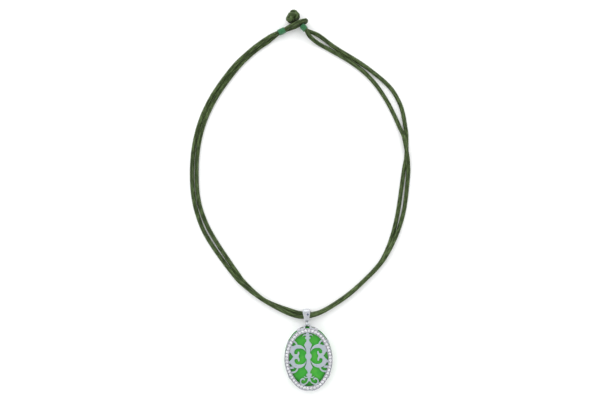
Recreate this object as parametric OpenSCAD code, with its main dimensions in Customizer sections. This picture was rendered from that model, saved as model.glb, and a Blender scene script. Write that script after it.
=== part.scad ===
// Charm necklace: an oval openwork pendant on a closed loop of two silk strands,
// lying flat. All sizes are in millimetres. The surface it lies on is z = 0, +Y runs
// from the pendant towards the clasp, and the origin is under the middle of the
// pendant with its bail.

/* [Pendant] */
// Half the pendant's width across the pave rim
rim_half_w = 12.45; // [9:0.05:18]
// Half the pendant's height along its long axis
rim_half_h = 16.1; // [12:0.05:24]
// Radius of the rounded ends of the oval
rim_end_r = 10.4; // [8:0.1:14]
// Width of the pave band
band_w = 2.25; // [1.6:0.05:3.2]
// Thickness of the back rim
back_t = 0.85; // [0.6:0.05:1.5]
// Thickness of the jade slab
jade_t = 5.3; // [3:0.1:7]
// Height of the pave rim in front of the slab
front_t = 1.7; // [1:0.1:3]
// Thickness of the openwork scrolls
grille_t = 0.8; // [0.5:0.1:1.5]
// How far the slab stands out beyond the rim
jade_proud = 0.15; // [0.1:0.05:0.4]
// Thickness of the claws and end plates that grip the slab's side
claw_t = 0.25; // [0.2:0.05:0.8]

/* [Stones] */
// Number of pave stones round the rim
pave_count = 48; // [36:1:56]
// Diameter of a pave stone
pave_d = 1.42; // [1:0.02:1.8]
// Diameter of the stone in the bail
bail_stone_d = 1.3; // [0.8:0.05:1.8]

/* [Bail and links] */
// Half the bail's height and length seen from the side
bail_r = 3.1; // [2.6:0.05:4]
// Wall of the bail
bail_wall = 0.65; // [0.4:0.05:1]
// Width of the bail at its top
bail_w = 4.0; // [3:0.1:6]
// Wire of the ring between bail and pendant
ring_wire = 0.6; // [0.4:0.05:1]
// Radius of that ring to the middle of its wire
ring_r = 1.25; // [1:0.05:2]

/* [Cord] */
// Diameter of one silk strand
cord_d = 2.1; // [1.5:0.1:3]
// Diameter of the button knot
knot_d = 7.4; // [6:0.1:10]
// Length of the thread wrap on the loop side
wrap_left_len = 3.9; // [2:0.1:8]
// Length of the thread wrap on the button side
wrap_right_len = 3.1; // [2:0.1:8]
// Thickness of the thread wrap
wrap_t = 0.3; // [0.2:0.05:0.6]

/* [Hidden] */

// Pieces that are held by another keep this gap to it.
gap = 0.05;

// The pendant's oval is four arcs: side arcs about (+-side_shift, 0) and end arcs
// about (0, +-end_shift), which meet where |y| = join_y.
pendant_y = -4.6;
end_shift = rim_half_h - rim_end_r;
side_slack = rim_half_w - rim_end_r;
side_shift = (end_shift * end_shift - side_slack * side_slack) / (2 * side_slack);
rim_side_r = rim_half_w + side_shift;
join_angle = atan2(end_shift, side_shift);
join_y = rim_side_r * sin(join_angle);

jade_z = back_t + gap;
front_z = jade_z + jade_t + gap;
front_top = front_z + front_t;
grille_z = front_z + gap;
lip_t = 0.6;
lip_in = 0.3;
plate_half = 5.4;
grip_out = jade_proud + claw_t;
claw_w = 1.6;
claw_y = 9;
window_w = 1.8;
window_step = 2.95;
window_h = 2.6;
opening_z = jade_z + 0.2;
far = 40;

// Stones stand in a channel of the rim.
channel_w = pave_d + 2 * gap;
channel_depth = 0.75;
channel_mid = band_w / 2;
pave_pavilion = 0.55;
pave_crown = 0.22;
pave_z = front_top - 0.08;
table_share = 0.58;
facets = 8;

// The bail stands on the surface and ends in a flat eye, through which the ring goes.
bail_x = -0.2;
bail_y = pendant_y + rim_half_h + 6.55;
bail_z = bail_r;
eye_y = bail_y - bail_r - 0.1;
eye_r = 0.5;
eye_wall = 0.4;
eye_half_t = 0.45;
eye_hole_half = 1.2;
bail_corner = 1;
bail_stone_at = [0.65, 0.55];
ring_y = eye_y - ring_r;
staple_y = ring_y - ring_r - 0.4;
staple_z = bail_z - gap;
staple_in = 1.15;
staple_wire = 0.75;
staple_t = 0.9;
staple_foot = pendant_y + rim_half_h + jade_proud + gap - staple_y;

// Cord sections are octagons with a flat side down.
sides = 8;
cord_r = cord_d / 2 * 1.03;
stack = 2.2;
cord_rest_z = 1;
bore_r = cord_r + 0.12;

// Routes, hand-picked round numbers: [x, y, z]. The upper strand lies over the other
// where they meet.
upper_route = [
    [3.6, 168, 5.3], [4.6, 166.9, 5.3], [5.5, 165, 5], [7.1, 162.7, 3.9], [11.7, 159.4, 1.3],
    [21.8, 153.3, 1], [30.7, 147.2, 1], [38.1, 140.1, 1], [43.9, 131.8, 1],
    [48.4, 123.2, 1], [52.2, 113.9, 1.7], [53.9, 109.2, 3], [55.3, 99.4, 3.3],
    [55.6, 94.5, 2.9], [55.6, 89.6, 1.3], [53.6, 74.9, 1], [50.9, 64.6, 1.4],
    [46.4, 54.4, 2.9], [40, 44.2, 3.2], [31.4, 35.7, 3.3], [21.6, 27.4, 3.3],
    [9.8, 20.3, 3.6], [3.3, 17.9, 4.1], [-0.2, 17.5, 3.9], [-3.8, 17.3, 3.4],
    [-10.5, 19.6, 3.2], [-22.3, 26.5, 3.4], [-32.6, 34.8, 3.1], [-37, 39.5, 2],
    [-44, 49.2, 1], [-52.4, 63.4, 1], [-56.9, 78.6, 1], [-57.7, 93.7, 1],
    [-56.1, 108.3, 1], [-51.9, 122.4, 1], [-44.7, 135.8, 1], [-34.8, 148.2, 2],
    [-28.5, 154.1, 2.7], [-21.6, 159.5, 3], [-16.5, 162.8, 3], [-13.2, 164.6, 3.3],
    [-9.8, 165.9, 3.7], [-8, 166.7, 3.7]];
lower_route = [
    [3.6, 168, 3.1], [4.6, 166.9, 3.1], [6.4, 166.1, 2.6], [9, 165.2, 1.8],
    [11.2, 164.1, 1.3], [13.8, 162.2, 1], [18.1, 158.6, 1], [23, 155.2, 1],
    [32.1, 149.2, 1], [40.6, 142.5, 1], [48.3, 134.8, 1],
    [53.2, 125, 1], [55, 114.6, 1], [55.4, 109.5, 1], [55, 99.5, 1],
    [54.1, 94.7, 1], [53.1, 89.9, 1], [50.6, 75.4, 1], [48.4, 65.3, 1],
    [45.1, 54.9, 1], [39.8, 44.4, 1], [31.4, 35.6, 1], [21.5, 27.5, 1],
    [9.8, 20.4, 1.3], [3.2, 18.4, 1.9], [-0.2, 18.6, 2], [-3.5, 19, 1.9],
    [-10, 21.1, 1.5], [-22.2, 26.5, 1], [-31.7, 35.5, 1], [-35.4, 40.6, 1],
    [-41.8, 50.6, 1], [-49.8, 64.6, 1], [-54.5, 78.9, 1], [-55.2, 93.6, 1],
    [-53.8, 107.9, 1], [-49.8, 121.6, 1], [-42.8, 134.6, 1], [-33.3, 146.9, 1],
    [-27, 153.3, 1], [-20.7, 158.3, 1], [-15.6, 161.5, 1.1], [-9.8, 165.9, 1.5],
    [-8, 166.7, 1.5]];
loop_route = [
    [-7.6, 166.9, 3.7], [-6.1, 167.6, 3.7], [-3.8, 168.7, 4.8], [-1.1, 169.5, 6.6],
    [1, 170.3, 7.5], [3, 171, 7.2], [4.5, 171.5, 5.8], [4.9, 171.5, 4.2],
    [4.6, 171.3, 2.4], [3.5, 170.9, 1.2], [1.4, 170.1, 1], [-1.2, 169, 1],
    [-4, 168.1, 1.2], [-6, 167.5, 1.5], [-7.6, 166.9, 1.5]];
loop_side = [-0.37, 0.93, 0];

wrap_left_at = [-8, 166.7, 2.6];
wrap_left_turn = 23.5;
wrap_right_at = [3.6, 168, 4.2];
wrap_right_turn = -47.3;
knot_at = [-2, 173.8, knot_d / 2];

// The openwork, right half, in millimetres from the pendant's middle.
scroll_mid_y = 1.6;

// Columns: height, half width
H = 0;
HALF_W = 1;
column_rows = [
    [14.6, 0.8], [12.6, 0.7], [11, 0.8], [10, 0.65], [9.3, 0.85], [7.6, 2.05],
    [5.4, 1.15], [3.4, 0.95], [-0.2, 0.95], [-2.2, 1.15], [-4.3, 2.05], [-6, 0.85],
    [-7, 0.65], [-8.4, 0.8], [-9.4, 0.7], [-10.8, 0.6], [-11.4, 0.45]];

// Circles of one half of the side scroll, mirrored about scroll_mid_y.
// Columns: middle x, middle y, radius
scroll_outer = [[5.45, 3.45, 4.25]];
scroll_void = [[5.2, 3.7, 2.1], [4.2, 2.6, 3.2]];
scroll_eye = [6.4, 3.7, 0.95];
scroll_tip = [5.05, 3.75, 0.4];
scroll_waist = [3.2, 1.6, 1.9];
strut_arc = [8.4, 7.1, 2.25];
strut_w = 0.8;
notch = [[10.6, 3.6], [9.2, 3.6], [8.4, 2.3], [7.8, 1.6], [8.4, 0.9], [9.2, -0.1], [10.6, -0.8]];
shoulder_pad = [[7.4, 7.1], [9.6, 7.1], [10.6, 4.2], [8.8, 4]];
slot_pads = [[[9, -0.7], [10.6, -0.7], [10.6, -1.9], [8.8, -1.9]],
             [[8.2, -3.5], [10.4, -3.5], [10, -4.6], [7.6, -4.6]]];
lobes = [[0.8, 11.1, 0.62], [0.85, -8.1, 0.65]];
leaf_high = [[1.35, 11.75, 1.3], [1.55, 11.3, 1.15], 11.7];
leaf_low = [[1.5, -8.6, 1.15], [1.6, -8.15, 1.05], -8.5];
curl = [3.05, -11.5, 1.85];
curl_w = 0.65;
curl_tip = [2.55, -10.45, 0.4];
branch = [2.95, -10.5, 2.65];
branch_w = 0.55;
boss_r = 1.7;

// Colours
silk = [0.27, 0.31, 0.2];
thread = [0.22, 0.5, 0.34];
metal = [0.8, 0.79, 0.82];
green = [0.22, 0.62, 0.22];
clear = [0.93, 0.92, 0.95];

$fn = 64;

function unit(v) = v / norm(v);
// A point half way along a route's smooth curve, no lower than the surface allows.
function mid_point(p, i) =
    let (a = p[max(i - 1, 0)], b = p[i], c = p[i + 1], d = p[min(i + 2, len(p) - 1)],
         m = (9 * b + 9 * c - a - d) / 16)
    [m[0], m[1], max(m[2], cord_rest_z)];
function refined(p) = [for (i = [0 : 2 * len(p) - 2]) i % 2 == 0 ? p[i / 2] : mid_point(p, (i - 1) / 2)];
function heading(p, i) = unit(p[min(i + 1, len(p) - 1)] - p[max(i - 1, 0)]);
function ring_of(p, i, side) =
    let (along = heading(p, i), across = side == [] ? unit(cross(along, [0, 0, 1])) : unit(side),
         up = cross(across, along))
    [for (k = [0 : sides - 1]) let (a = (k + 0.5) * 360 / sides)
        p[i] + cord_r * (cos(a) * across + sin(a) * up)];

// A tube with eight sides along a route, with its ends closed.
module tube(p, side = []) {
    n = len(p);
    points = [for (i = [0 : n - 1]) each ring_of(p, i, side)];
    skin = [for (i = [0 : n - 2], k = [0 : sides - 1])
        let (a = i * sides + k, b = i * sides + (k + 1) % sides)
        each [[a, b, b + sides], [a, b + sides, a + sides]]];
    caps = [[for (k = [sides - 1 : -1 : 0]) k], [for (k = [0 : sides - 1]) (n - 1) * sides + k]];
    polyhedron(points, concat(skin, caps), convexity = 10);
}

// The oval, grown by a margin that may be negative.
module oval(grow = 0) {
    intersection() {
        translate([-side_shift, 0]) circle(rim_side_r + grow);
        translate([side_shift, 0]) circle(rim_side_r + grow);
        square([far, 2 * join_y + 2 * grow * sin(join_angle)], center = true);
    }
    for (end = [-1, 1]) intersection() {
        translate([0, end * end_shift]) circle(rim_end_r + grow);
        translate([0, end * (far / 2 + join_y + grow * sin(join_angle) - gap)])
            square(far, center = true);
    }
}

module oval_ring(inner, outer) {
    difference() {
        oval(outer);
        oval(inner);
    }
}

module disc(c) {
    translate([c[0], c[1]]) circle(c[2]);
}

// Draws its child as it is and mirrored about the scrolls' own middle line.
module up_and_down() {
    children();
    translate([0, scroll_mid_y]) mirror([0, 1]) translate([0, -scroll_mid_y]) children();
}

module scroll() {
    difference() {
        up_and_down() for (c = scroll_outer) disc(c);
        up_and_down() for (c = scroll_void) disc(c);
        polygon(notch);
    }
    difference() {
        translate([4.65, scroll_tip[1] - 2 * (scroll_tip[1] - scroll_mid_y)])
            square([3.5, 2 * (scroll_tip[1] - scroll_mid_y)]);
        up_and_down() disc(scroll_eye);
        disc(scroll_waist);
        polygon(notch);
    }
    up_and_down() disc(scroll_tip);
    polygon(shoulder_pad);
    for (pad = slot_pads) polygon(pad);
}

module strut() {
    difference() {
        translate([strut_arc[0], strut_arc[1]]) circle(strut_arc[2] + strut_w);
        disc(strut_arc);
        translate([0, -far + strut_arc[1] + 0.4]) square(far);
    }
}

module leaf(rows, up) {
    difference() {
        disc(rows[0]);
        disc(rows[1]);
        translate([0, up > 0 ? rows[2] - far : rows[2]]) square(far);
    }
}

module bottom_curl() {
    difference() {
        disc(curl);
        translate([curl[0], curl[1]]) circle(curl[2] - curl_w);
        translate([0, curl[1] - 0.8]) square([curl_tip[0], far]);
    }
    disc(curl_tip);
    difference() {
        disc(branch);
        translate([branch[0], branch[1]]) circle(branch[2] - branch_w);
        translate([branch[0], -far / 2]) square(far);
        translate([-far / 2, branch[1]]) square(far);
    }
}

module half_openwork() {
    polygon(concat([for (r = column_rows) [r[HALF_W], r[H]]], [[-0.1, -11.4], [-0.1, 14.6]]));
    circle_boss();
    scroll();
    up_and_down() strut();
    for (c = lobes) disc(c);
    leaf(leaf_high, 1);
    leaf(leaf_low, -1);
    bottom_curl();
}

module circle_boss() {
    translate([0, scroll_mid_y]) circle(boss_r);
}

module openwork() {
    intersection() {
        union() {
            half_openwork();
            mirror([1, 0]) half_openwork();
        }
        oval(-band_w + 0.3);
    }
}

// Where the slab's side is gripped: end plates, and claws at the sides.
module grip_zones() {
    for (end = [-1, 1]) translate([0, end * far / 2]) square([2 * plate_half, far], center = true);
    for (end = [-1, 1]) translate([0, end * claw_y]) square([far, claw_w], center = true);
}

module grips() {
    intersection() {
        union() {
            linear_extrude(front_z + lip_t) oval_ring(jade_proud, grip_out);
            translate([0, 0, front_z + gap]) linear_extrude(lip_t - gap) oval_ring(-lip_in, grip_out);
            linear_extrude(back_t - gap) oval_ring(-lip_in, grip_out);
        }
        linear_extrude(far) grip_zones();
    }
}

// The slab's side shows through a gap in the middle of each end plate, open at the
// top, and through a window on each side of it.
module plate_windows() {
    for (end = [-1, 1]) translate([0, end * rim_half_h, 0]) {
        translate([0, 0, opening_z + far / 2]) cube([2 * staple_in, 8, far], center = true);
        for (x = [-1, 1]) translate([x * window_step, 0, jade_z + jade_t / 2])
            cube([window_w, 8, window_h], center = true);
    }
}

module staple() {
    translate([0, staple_y - pendant_y, staple_z - staple_t / 2])
        linear_extrude(staple_t) difference() {
            union() {
                circle(staple_in + staple_wire);
                translate([-staple_in - staple_wire, staple_foot])
                    square([2 * (staple_in + staple_wire), -staple_foot]);
            }
            circle(staple_in);
            translate([-staple_in, -far]) square([2 * staple_in, far]);
            translate([-far / 2, staple_foot - far]) square(far);
        }
}

module pendant_frame() {
    color(metal) translate([0, pendant_y, 0]) {
        linear_extrude(back_t) oval_ring(-band_w, 0);
        difference() {
            translate([0, 0, front_z]) linear_extrude(front_t) oval_ring(-band_w, 0);
            translate([0, 0, front_top - channel_depth]) linear_extrude(front_t)
                oval_ring(-channel_mid - channel_w / 2, -channel_mid + channel_w / 2);
        }
        difference() {
            grips();
            plate_windows();
        }
        translate([0, 0, grille_z]) linear_extrude(grille_t) openwork();
        staple();
    }
}

module jade() {
    color(green) translate([0, pendant_y, jade_z]) linear_extrude(jade_t) oval(jade_proud - gap);
}

// A cut stone with its table up and its widest edge at z = 0.
module cut_stone(d, crown, pavilion) {
    r = d / 2;
    girdle = [for (k = [0 : facets - 1]) [r * cos(k * 360 / facets), r * sin(k * 360 / facets), 0]];
    table = [for (k = [0 : facets - 1])
        [table_share * r * cos(k * 360 / facets), table_share * r * sin(k * 360 / facets), crown]];
    points = concat(girdle, table, [[0, 0, -pavilion]]);
    side_faces = [for (k = [0 : facets - 1]) let (m = (k + 1) % facets)
        [k, facets + k, facets + m, m]];
    bottom = [for (k = [0 : facets - 1]) [k, (k + 1) % facets, 2 * facets]];
    top = [[for (k = [facets - 1 : -1 : 0]) facets + k]];
    polyhedron(points, concat(side_faces, bottom, top), convexity = 4);
}

// A point on the oval, inset by some margin, at a distance along it from its right side.
function quarter_len(inset) =
    let (side = (rim_side_r - inset) * join_angle, end = (rim_end_r - inset) * (90 - join_angle))
    (side + end) * PI / 180;
function quarter_point(s, inset) =
    let (side_r = rim_side_r - inset, end_r = rim_end_r - inset,
         side_len = side_r * join_angle * PI / 180)
    s < side_len
        ? let (a = s / side_r * 180 / PI) [side_r * cos(a) - side_shift, side_r * sin(a), a]
        : let (a = join_angle + (s - side_len) / end_r * 180 / PI)
          [end_r * cos(a), end_shift + end_r * sin(a), a];
function oval_point(s, inset) =
    let (q = quarter_len(inset), n = floor(s / q), t = s - n * q,
         p = quarter_point(n % 2 == 0 ? t : q - t, inset))
    n == 0 ? p
    : n == 1 ? [-p[0], p[1], 180 - p[2]]
    : n == 2 ? [-p[0], -p[1], 180 + p[2]]
    : [p[0], -p[1], -p[2]];

module pave_stones() {
    step = 4 * quarter_len(channel_mid) / pave_count;
    color(clear) for (i = [0 : pave_count - 1]) {
        p = oval_point((i + 0.5) * step, channel_mid);
        translate([p[0], pendant_y + p[1], pave_z]) rotate([0, 0, p[2]])
            cut_stone(pave_d, pave_crown, pave_pavilion);
    }
}

module rounded_square(half, corner) {
    square([2 * half, 2 * (half - corner)], center = true);
    square([2 * (half - corner), 2 * half], center = true);
    for (x = [-1, 1], y = [-1, 1]) translate([x, y] * (half - corner)) circle(corner);
}

// The bail's band seen from its side, and its outline from the front.
module bail_side() {
    difference() {
        rounded_square(bail_r, bail_corner);
        rounded_square(bail_r - bail_wall, bail_corner - bail_wall);
    }
}

module bail_front() {
    polygon([[-bail_w / 2, bail_r + 1], [bail_w / 2, bail_r + 1], [bail_w / 2, 1.5],
             [1.2, -2.2], [1.1, -bail_r - 1], [-1.1, -bail_r - 1], [-1.2, -2.2], [-bail_w / 2, 1.5]]);
}

module bail_eye() {
    translate([0, 0, -eye_half_t]) linear_extrude(2 * eye_half_t) {
        translate([0, eye_y - bail_y]) circle(eye_r + eye_wall);
        translate([-0.8, eye_y - bail_y]) square([1.6, 0.45]);
    }
}

module bail() {
    color(metal) translate([bail_x, bail_y, bail_z]) difference() {
        union() {
            intersection() {
                rotate([90, 0, 90]) linear_extrude(bail_w + 1, center = true) bail_side();
                translate([0, 0, -far / 2]) linear_extrude(far) bail_front();
            }
            bail_eye();
        }
        translate([0, eye_y - bail_y, -eye_hole_half]) cylinder(h = 2 * eye_hole_half, r = eye_r);
        translate([bail_stone_at[0], bail_stone_at[1], bail_r - bail_wall - 0.5])
            cylinder(h = 3, d = bail_stone_d + 2 * gap);
    }
}

module bail_stone() {
    color(clear)
        translate([bail_x + bail_stone_at[0], bail_y + bail_stone_at[1], bail_z + bail_r - 0.12])
        cut_stone(bail_stone_d, 0.24, 0.5);
}

module link_ring() {
    color(metal) translate([bail_x, ring_y, bail_z]) rotate([0, 90, 0])
        rotate_extrude() translate([ring_r, 0]) circle(d = ring_wire, $fn = 24);
}

module cord_upper() {
    color(silk) tube(refined(upper_route));
}

module cord_lower() {
    color(silk) tube(refined(lower_route));
}

module cord_loop() {
    color(silk) tube(loop_route, loop_side);
}

// A ball with its two neck strands, which meet the necklace's strands in the wrap.
module button_knot() {
    neck = wrap_right_at - knot_at;
    reach = norm([neck[0], neck[1]]) - 0.3;
    color(silk) translate([knot_at[0], knot_at[1], 0]) {
        translate([0, 0, knot_d / 2]) sphere(knot_d / 2);
        for (z = [wrap_right_at[2] - stack / 2, wrap_right_at[2] + stack / 2])
            translate([0, 0, z]) rotate([0, 90, atan2(neck[1], neck[0])])
                translate([0, 0, 2]) cylinder(h = reach - 2, r = cord_d / 2 - 2 * gap);
    }
}

module stadium(r) {
    for (y = [-stack / 2, stack / 2]) translate([0, y]) circle(r);
    square([2 * r, stack], center = true);
}

module wrap(at, turn, length) {
    color(thread) translate(at) rotate([90, 0, turn + 90])
        linear_extrude(length, center = true) difference() {
            stadium(bore_r + wrap_t);
            stadium(bore_r);
        }
}

module wrap_left() {
    wrap(wrap_left_at, wrap_left_turn, wrap_left_len);
}

module wrap_right() {
    wrap(wrap_right_at, wrap_right_turn, wrap_right_len);
}

cord_upper();
cord_lower();
cord_loop();
button_knot();
wrap_left();
wrap_right();
bail();
bail_stone();
link_ring();
pendant_frame();
jade();
pave_stones();
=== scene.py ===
"""Looks for the charm necklace: silk strands with a braided skin, an interlaced button and
its loop, wound thread wraps, a tapering bail, and a jade pendant under openwork with a rim
of cut stones. All sizes are in metres, in the frame of the part."""

import math

import bmesh
import bpy
import numpy as np
from mathutils import Matrix, Vector


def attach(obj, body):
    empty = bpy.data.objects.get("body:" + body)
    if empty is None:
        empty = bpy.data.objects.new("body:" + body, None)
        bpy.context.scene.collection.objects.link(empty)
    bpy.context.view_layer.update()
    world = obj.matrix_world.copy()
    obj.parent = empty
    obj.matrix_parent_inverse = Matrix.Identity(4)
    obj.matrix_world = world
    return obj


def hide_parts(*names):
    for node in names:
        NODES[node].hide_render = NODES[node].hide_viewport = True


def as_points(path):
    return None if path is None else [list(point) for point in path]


MM = 0.001

# The camera looks straight down from the photo's distance, turned by a few degrees. The
# picture is VIEW_WIDTH of the table wide.
CAMERA_AT = (-1.53 * MM, 78.2 * MM, 560 * MM)
CAMERA_TURN = -2
VIEW_WIDTH = 315.3 * MM
SENSOR = 36

# The cord, as in the part's source: its thickness, how far out its braided skin stands and
# the lowest that its middle lies. The points of its routes are in millimetres.
CORD_D = 2.1 * MM
SKIN_R = 1.1 * MM
REST_Z = 1.1 * MM
UPPER_ROUTE = [
    (3.6, 168, 5.3), (4.6, 166.9, 5.3), (5.5, 165, 5), (7.1, 162.7, 3.9),
    (11.7, 159.4, 1.3), (21.8, 153.3, 1), (30.7, 147.2, 1), (38.1, 140.1, 1),
    (43.9, 131.8, 1), (48.4, 123.2, 1), (52.2, 113.9, 1.7), (53.9, 109.2, 3),
    (55.3, 99.4, 3.3), (55.6, 94.5, 2.9), (55.6, 89.6, 1.3), (53.6, 74.9, 1),
    (50.9, 64.6, 1.4), (46.4, 54.4, 2.9), (40, 44.2, 3.2), (31.4, 35.7, 3.3),
    (21.6, 27.4, 3.3), (9.8, 20.3, 3.6), (3.3, 17.9, 4.1), (-0.2, 17.5, 3.9),
    (-3.8, 17.3, 3.4), (-10.5, 19.6, 3.2), (-22.3, 26.5, 3.4), (-32.6, 34.8, 3.1),
    (-37, 39.5, 2), (-44, 49.2, 1), (-52.4, 63.4, 1), (-56.9, 78.6, 1),
    (-57.7, 93.7, 1), (-56.1, 108.3, 1), (-51.9, 122.4, 1), (-44.7, 135.8, 1),
    (-34.8, 148.2, 2), (-28.5, 154.1, 2.7), (-21.6, 159.5, 3), (-16.5, 162.8, 3),
    (-13.2, 164.6, 3.3), (-9.8, 165.9, 3.7), (-8, 166.7, 3.7),
]
LOWER_ROUTE = [
    (3.6, 168, 3.1), (4.6, 166.9, 3.1), (6.4, 166.1, 2.6), (9, 165.2, 1.8),
    (11.2, 164.1, 1.3), (13.8, 162.2, 1), (18.1, 158.6, 1), (23, 155.2, 1),
    (32.1, 149.2, 1), (40.6, 142.5, 1), (48.3, 134.8, 1), (53.2, 125, 1),
    (55, 114.6, 1), (55.4, 109.5, 1), (55, 99.5, 1), (54.1, 94.7, 1),
    (53.1, 89.9, 1), (50.6, 75.4, 1), (48.4, 65.3, 1), (45.1, 54.9, 1),
    (39.8, 44.4, 1), (31.4, 35.6, 1), (21.5, 27.5, 1), (9.8, 20.4, 1.3),
    (3.2, 18.4, 1.9), (-0.2, 18.6, 2), (-3.5, 19, 1.9), (-10, 21.1, 1.5),
    (-22.2, 26.5, 1), (-31.7, 35.5, 1), (-35.4, 40.6, 1), (-41.8, 50.6, 1),
    (-49.8, 64.6, 1), (-54.5, 78.9, 1), (-55.2, 93.6, 1), (-53.8, 107.9, 1),
    (-49.8, 121.6, 1), (-42.8, 134.6, 1), (-33.3, 146.9, 1), (-27, 153.3, 1),
    (-20.7, 158.3, 1), (-15.6, 161.5, 1.1), (-9.8, 165.9, 1.5), (-8, 166.7, 1.5),
]
LOOP_ROUTE = [
    (-7.6, 166.9, 3.7), (-6.1, 167.6, 3.7), (-3.8, 168.7, 4.8), (-1.1, 169.5, 6.6),
    (1, 170.3, 7.5), (3, 171, 7.2), (4.5, 171.5, 5.8), (4.9, 171.5, 4.2),
    (4.6, 171.3, 2.4), (3.5, 170.9, 1.2), (1.4, 170.1, 1), (-1.2, 169, 1),
    (-4, 168.1, 1.2), (-6, 167.5, 1.5), (-7.6, 166.9, 1.5),
]

# The braid of the cord's skin: yarns in columns that slant to one side and the other.
COLUMNS = 8
STITCH = 0.95 * MM
SLANT = 0.42
YARN_CURVE = 0.6
GROOVE = 0.1 * MM
RING_STEP = 0.17 * MM
AROUND = 32

# The wraps: middle in millimetres, heading in degrees and length in millimetres. In a wrap
# the two strands' middles lie STACK apart, and the thread's middle lies THREAD_OUT of its
# own thickness outside their bore.
WRAPS = {
    "wrap_left": {"at": (-8, 166.7, 2.6), "turn": 23.5, "length": 3.9},
    "wrap_right": {"at": (3.6, 168, 4.2), "turn": -47.3, "length": 3.1},
}
STACK = 2.2 * MM
BORE_R = 1.2015 * MM
THREAD_D = 0.34 * MM
THREAD_PITCH = 0.33 * MM
THREAD_OUT = 0.42
THREAD_STEPS = 44
THREAD_SIDES = 8

# The button: a cord woven round a ball, with its axis along its neck.
KNOT_AT = Vector((-2, 173.8, 3.7)) * MM
KNOT_LEADS = 3
KNOT_BIGHTS = 4
KNOT_POINTS = 420
KNOT_R = 2.28 * MM
KNOT_WAVE = 0.42 * MM
KNOT_TILT = 62
KNOT_TURN = 45

# The button's outline: shares of its width and height, a lean to the right, and a bulge
# across its upper half, which is smaller on the left. It is cut off level at its bottom.
KNOT_HALF = CORD_D * 1.75
KNOT_BOTTOM = 0.03 * MM
KNOT_WIDTH = 0.97
KNOT_TOP_WIDER = 0.11
KNOT_FOOT_WIDER = 0.04
KNOT_TOP_TALL = 1.02
KNOT_FOOT_TALL = 1.03
KNOT_LEAN = 0.14
KNOT_BULGE = 0.6 * MM
KNOT_BULGE_LEFT = 0.74
KNOT_BULGE_AT = 0.95 * MM
KNOT_BULGE_SIZE = 1.3 * MM

# The button's shade: the way from the loop to its middle, that distance, and where the
# shade of the loop begins to fade and over what length, in millimetres.
LOOP_SIDE = np.array([-0.357, 0.934])
KNOT_TO_LOOP = 2.7
SHADE_FROM = 0.3
SHADE_OVER = 0.8

# The two strands of the button's neck, which start NECK_IN behind its middle.
NECK_R = 0.98 * MM
NECK_IN = 1.5 * MM
NECK_SHADE = 0.15

# The pendant's oval: four arcs, as in the part's source.
PENDANT_Y = -4.6 * MM
RIM_HALF_W = 12.45 * MM
RIM_HALF_H = 16.1 * MM
RIM_END_R = 10.4 * MM
BAND_W = 2.25 * MM
BACK_T = 0.85 * MM
FRONT_Z = 6.25 * MM
FRONT_TOP = 7.95 * MM
GRILLE_Z = 6.3 * MM
GRILLE_T = 0.8 * MM
END_SHIFT = RIM_HALF_H - RIM_END_R
SIDE_SLACK = RIM_HALF_W - RIM_END_R
SIDE_SHIFT = (END_SHIFT**2 - SIDE_SLACK**2) / (2 * SIDE_SLACK)
RIM_SIDE_R = RIM_HALF_W + SIDE_SHIFT
JOIN_ANGLE = math.atan2(END_SHIFT, SIDE_SHIFT)
OVAL_STEPS = 288

# A cut stone: heights of its crown and girdle, and radii of its table and of the corners
# half way down its crown and its pavilion, as shares of its own.
CROWN = 0.22 * MM
GIRDLE = 0.03 * MM
TABLE_SHARE = 0.56
CROWN_SHARE = 0.78
PAVILION_SHARE = 0.42

# The stones in the rim, their seats, and the beads that hold them.
PAVE_COUNT = 48
PAVE_D = 1.42 * MM
PAVE_Z = 7.87 * MM
PAVE_DEPTH = 0.52 * MM
LIP = 0.27 * MM
SEAT_Z = 7.7 * MM
SEAT_R = 0.58 * MM
SEAT_DEPTH = 0.5 * MM
SEAT_RISE = 0.6 * MM
BEAD_R = 0.27 * MM
BEAD_OUT = 0.47 * MM
BEAD_UP = 0.1 * MM

# The bail: half the band's width, in millimetres, at places along it, its eye and its stone.
BAIL_AT = Vector((-0.2, 18.05, 3.1)) * MM
BAIL_R = 3.1 * MM
BAIL_WALL = 0.65 * MM
BAIL_CORNER = 1.0 * MM
BAND_AT = [-4.1, -2.2, 1.5, 4.1]
BAND_HALF = [1.1, 1.2, 2, 2]
EYE_Y = -3.2 * MM
EYE_R = 0.5 * MM
EYE_WALL = 0.4 * MM
EYE_HALF_T = 0.45 * MM
EYE_HOLE_HALF = 1.2 * MM
WEB_HALF_W = 0.8 * MM
WEB_LENGTH = 0.45 * MM
TURNED_STEPS = 40
BAIL_STONE_D = 1.3 * MM
BAIL_STONE_DEPTH = 0.45 * MM
BAIL_STONE_SUNK = Vector((0, 0, 0.1)) * MM
BAIL_STONE_AT = Vector((0.65, 0.55, 3.1)) * MM

# The staple that the link ring passes through.
STAPLE_AT = Vector((0, 11.95, 3.05)) * MM
STAPLE_R = 1.525 * MM
STAPLE_W = 0.75 * MM
STAPLE_T = 0.9 * MM
STAPLE_FOOT = -0.25 * MM
STAPLE_STEPS = 24

# The plates and claws that grip the slab's side: their profile's corners as (inset from the
# rim, height), in millimetres.
GRIP_CORNERS = [
    (-0.4, 0), (0.3, 0), (0.3, 0.8), (-0.15, 0.8), (-0.15, 6.3), (0.3, 6.3), (0.3, 6.85),
    (-0.4, 6.85),
]
PLATE_HALF = 5.4 * MM
CLAW_Y = 9 * MM
CLAW_W = 1.6 * MM
# Middle, half width, and lower and upper height of each window in a plate. The windows are
# cut between two distances from the pendant's middle.
WINDOWS = [(-2.95, 0.9, 2.25, 4.85), (0, 1.15, 1.1, 9), (2.95, 0.9, 2.25, 4.85)]
WINDOW_SPAN = (10 * MM, 20 * MM)

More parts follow.
